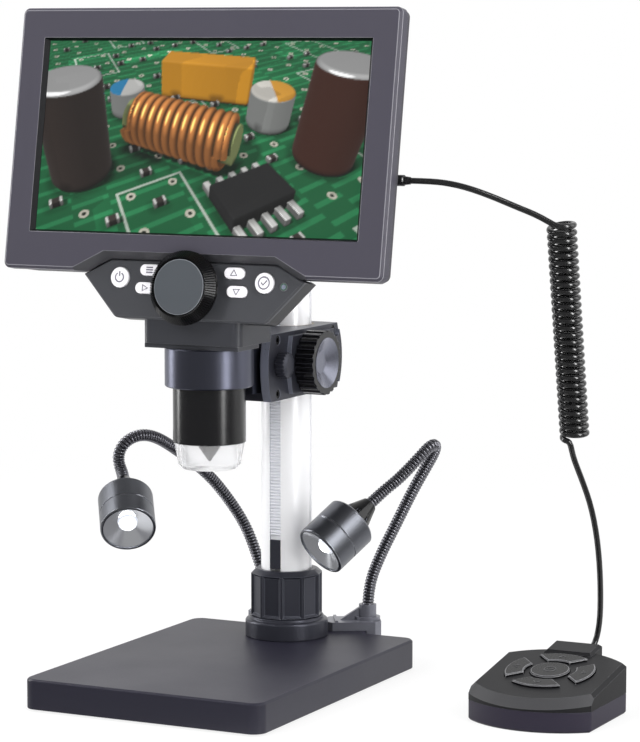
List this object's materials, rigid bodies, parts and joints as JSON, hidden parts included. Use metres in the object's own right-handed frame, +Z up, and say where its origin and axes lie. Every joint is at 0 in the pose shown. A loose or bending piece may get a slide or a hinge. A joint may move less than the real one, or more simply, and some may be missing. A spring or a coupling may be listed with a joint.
{
  "type": "lcd digital microscope",
  "caption": "Digital microscope with a flat screen head on a rack column, metal base, two clip-on gooseneck lamps and a wired remote.",
  "frame": {"origin": "on the floor under the middle of the base's main rectangle", "axes": "+Z up, +X to the right seen from the front, the screen faces -Y"},
  "size_m": [0.271, 0.184, 0.3019],
  "materials": {
    "base_grey": "satin",
    "dark_metal": "satin",
    "bright_aluminium": "brushed",
    "blue_grey_metal": "satin",
    "black_steel": "black oxide",
    "steel": "machined",
    "brass": "turned",
    "black_plastic": "matt",
    "bezel_plastic": "satin",
    "panel_plastic": "satin",
    "white_plastic": "satin",
    "clear_plastic": "frosted",
    "lens_black": "gloss",
    "screen_glass": "lit picture",
    "circuit": "solder mask",
    "battery_wrap": "film",
    "lamp_metal": "brushed",
    "led_white": "lit",
    "rubber": "matt",
    "cord_black": "semi matt"
  },
  "bodies": {
    "stand": {"base_shell": "base_grey", "base_plate": "steel", "base_pad": "rubber", "base_screws": "steel", "column_flange": "dark_metal", "column_tube": "bright_aluminium", "column_cap": "black_plastic", "column_rack": "steel", "rack_stop": "black_plastic", "lamp_clip_right": "dark_metal", "lamp_clip_left": "dark_metal", "remote_top": "black_plastic", "remote_bottom": "black_plastic", "cord_upper": "cord_black", "cord_curl": "cord_black", "cord_lower": "cord_black"},
    "nut": {"column_nut": "blue_grey_metal"},
    "carriage": {"carriage_block": "dark_metal", "side_plate_right": "blue_grey_metal", "side_plate_left": "blue_grey_metal", "carriage_screws": "black_steel", "carriage_bushes": "brass", "ring_holder": "blue_grey_metal", "lens_tube": "lens_black", "diffuser_tip": "clear_plastic", "neck_block": "panel_plastic", "screen_bezel": "bezel_plastic", "screen_back": "bezel_plastic", "screen_screws": "black_steel", "lcd_panel": "screen_glass", "battery": "battery_wrap", "control_panel": "panel_plastic", "control_shell": "panel_plastic", "circuit_boards": "circuit", "cord_plug": "cord_black"},
    "pinion": {"pinion_shaft": "steel", "focus_knob_right": "black_plastic", "focus_knob_left": "black_plastic"},
    "lock": {"lock_knob": "blue_grey_metal"},
    "dial": {"focus_dial": "panel_plastic"},
    "lens": {"lens_carrier": "lens_black"},
    "lamp_right": {"lamp_arm_right": "black_plastic", "lamp_neck_right": "black_plastic", "lamp_head_right": "lamp_metal", "lamp_light_right": "led_white"},
    "lamp_left": {"lamp_arm_left": "black_plastic", "lamp_neck_left": "black_plastic", "lamp_head_left": "lamp_metal", "lamp_light_left": "led_white"},
    "button_power": {"button_power": "white_plastic"},
    "button_accept": {"button_accept": "white_plastic"},
    "button_menu": {"button_menu": "white_plastic"},
    "button_play": {"button_play": "white_plastic"},
    "button_left": {"button_left": "white_plastic"},
    "button_right": {"button_right": "white_plastic"},
    "remote_button_center": {"remote_button_center": "black_plastic"},
    "remote_button_right": {"remote_button_right": "black_plastic"},
    "remote_button_back": {"remote_button_back": "black_plastic"},
    "remote_button_left": {"remote_button_left": "black_plastic"},
    "remote_button_front": {"remote_button_front": "black_plastic"}
  },
  "joints": [
    {"name": "carriage_slide", "type": "slide", "parent": "stand", "child": "carriage", "axis": [0, 0, 1], "range_m": [-0.036, 0.078], "deforming": ["cord_upper", "cord_curl"]},
    {"name": "pinion_turn", "type": "hinge", "parent": "carriage", "child": "pinion", "pos_m": [0, 0.0416, 0.1437], "axis": [1, 0, 0], "range_deg": [-700, 340]},
    {"name": "lock_turn", "type": "hinge", "parent": "carriage", "child": "lock", "pos_m": [0.0185, 0.017, 0.1445], "axis": [1, 0, 0], "range_deg": [0, 180]},
    {"name": "nut_turn", "type": "hinge", "parent": "stand", "child": "nut", "pos_m": [0, 0.0597, 0.035], "axis": [0, 0, 1], "range_deg": [0, 180]},
    {"name": "focus_turn", "type": "hinge", "parent": "carriage", "child": "dial", "pos_m": [0, -0.0357, 0.18194], "axis": [0, -0.9854, 0.1704], "range_deg": [-36, 36]},
    {"name": "lens_focus", "type": "slide", "parent": "carriage", "child": "lens", "axis": [0, 0, 1], "range_m": [-0.0018, 0.0018]},
    {"name": "lamp_right_swing", "type": "hinge", "parent": "stand", "child": "lamp_right", "pos_m": [0.02685, 0.0905, 0.022], "axis": [0, 0, 1], "range_deg": [-9, 20]},
    {"name": "lamp_left_swing", "type": "hinge", "parent": "stand", "child": "lamp_left", "pos_m": [-0.02685, 0.0905, 0.022], "axis": [0, 0, 1], "range_deg": [-15, 15]},
    {"name": "press_power", "type": "slide", "parent": "carriage", "child": "button_power", "axis": [0, 0.9854, -0.1704], "range_m": [0, 0.0008], "stiffness_N_per_m": 600, "springref_m": -0.0005},
    {"name": "press_accept", "type": "slide", "parent": "carriage", "child": "button_accept", "axis": [0, 0.9854, -0.1704], "range_m": [0, 0.0008], "stiffness_N_per_m": 600, "springref_m": -0.0005},
    {"name": "press_menu", "type": "slide", "parent": "carriage", "child": "button_menu", "axis": [0, 0.9854, -0.1704], "range_m": [0, 0.0008], "stiffness_N_per_m": 600, "springref_m": -0.0005},
    {"name": "press_play", "type": "slide", "parent": "carriage", "child": "button_play", "axis": [0, 0.9854, -0.1704], "range_m": [0, 0.0008], "stiffness_N_per_m": 600, "springref_m": -0.0005},
    {"name": "press_left", "type": "slide", "parent": "carriage", "child": "button_left", "axis": [0, 0.9854, -0.1704], "range_m": [0, 0.0008], "stiffness_N_per_m": 600, "springref_m": -0.0005},
    {"name": "press_right", "type": "slide", "parent": "carriage", "child": "button_right", "axis": [0, 0.9854, -0.1704], "range_m": [0, 0.0008], "stiffness_N_per_m": 600, "springref_m": -0.0005},
    {"name": "remote_press_center", "type": "slide", "parent": "stand", "child": "remote_button_center", "axis": [0, 0.165, -0.9863], "range_m": [0, 0.0008], "stiffness_N_per_m": 600, "springref_m": -0.0005},
    {"name": "remote_press_right", "type": "slide", "parent": "stand", "child": "remote_button_right", "axis": [0, 0.165, -0.9863], "range_m": [0, 0.0008], "stiffness_N_per_m": 600, "springref_m": -0.0005},
    {"name": "remote_press_back", "type": "slide", "parent": "stand", "child": "remote_button_back", "axis": [0, 0.165, -0.9863], "range_m": [0, 0.0008], "stiffness_N_per_m": 600, "springref_m": -0.0005},
    {"name": "remote_press_left", "type": "slide", "parent": "stand", "child": "remote_button_left", "axis": [0, 0.165, -0.9863], "range_m": [0, 0.0008], "stiffness_N_per_m": 600, "springref_m": -0.0005},
    {"name": "remote_press_front", "type": "slide", "parent": "stand", "child": "remote_button_front", "axis": [0, 0.165, -0.9863], "range_m": [0, 0.0008], "stiffness_N_per_m": 600, "springref_m": -0.0005}
  ],
  "couplings": [
    {"joint": "pinion_turn", "follows": "carriage_slide", "rad_per_m": -148.15},
    {"joint": "focus_turn", "follows": "lens_focus", "rad_per_m": 338.28}
  ]
}
